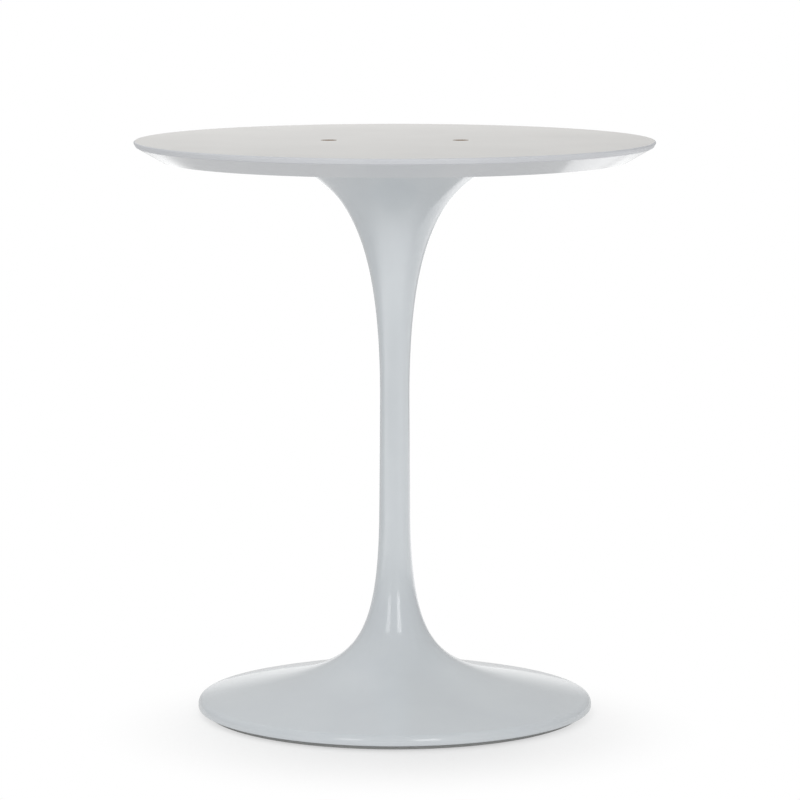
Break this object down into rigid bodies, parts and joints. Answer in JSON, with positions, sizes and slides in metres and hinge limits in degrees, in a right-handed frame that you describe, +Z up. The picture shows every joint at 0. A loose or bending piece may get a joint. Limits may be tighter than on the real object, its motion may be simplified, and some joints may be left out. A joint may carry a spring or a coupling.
{
  "type": "tulip table base",
  "caption": "Round trumpet-shaped pedestal table base with a wide hollow foot, slim neck, flared head and a bevelled support disc screwed on top.",
  "frame": {"origin": "on the floor, on the pedestal's axis", "axes": "+Z up along the pedestal's axis, +X through the right-hand disc screw, the picture looks along +Y"},
  "size_m": [0.6491, 0.6492, 0.72],
  "materials": {
    "pedestal": "gloss white powder coat on cast aluminium",
    "support_disc": "matt pale grey lacquer on fibreboard",
    "screw": "zinc plated",
    "floor_ring": "matt grey"
  },
  "bodies": {
    "root": {"pedestal": "pedestal", "support_disc": "support_disc", "disc_screw_left": "screw", "disc_screw_right": "screw", "floor_ring": "floor_ring"}
  },
  "joints": []
}
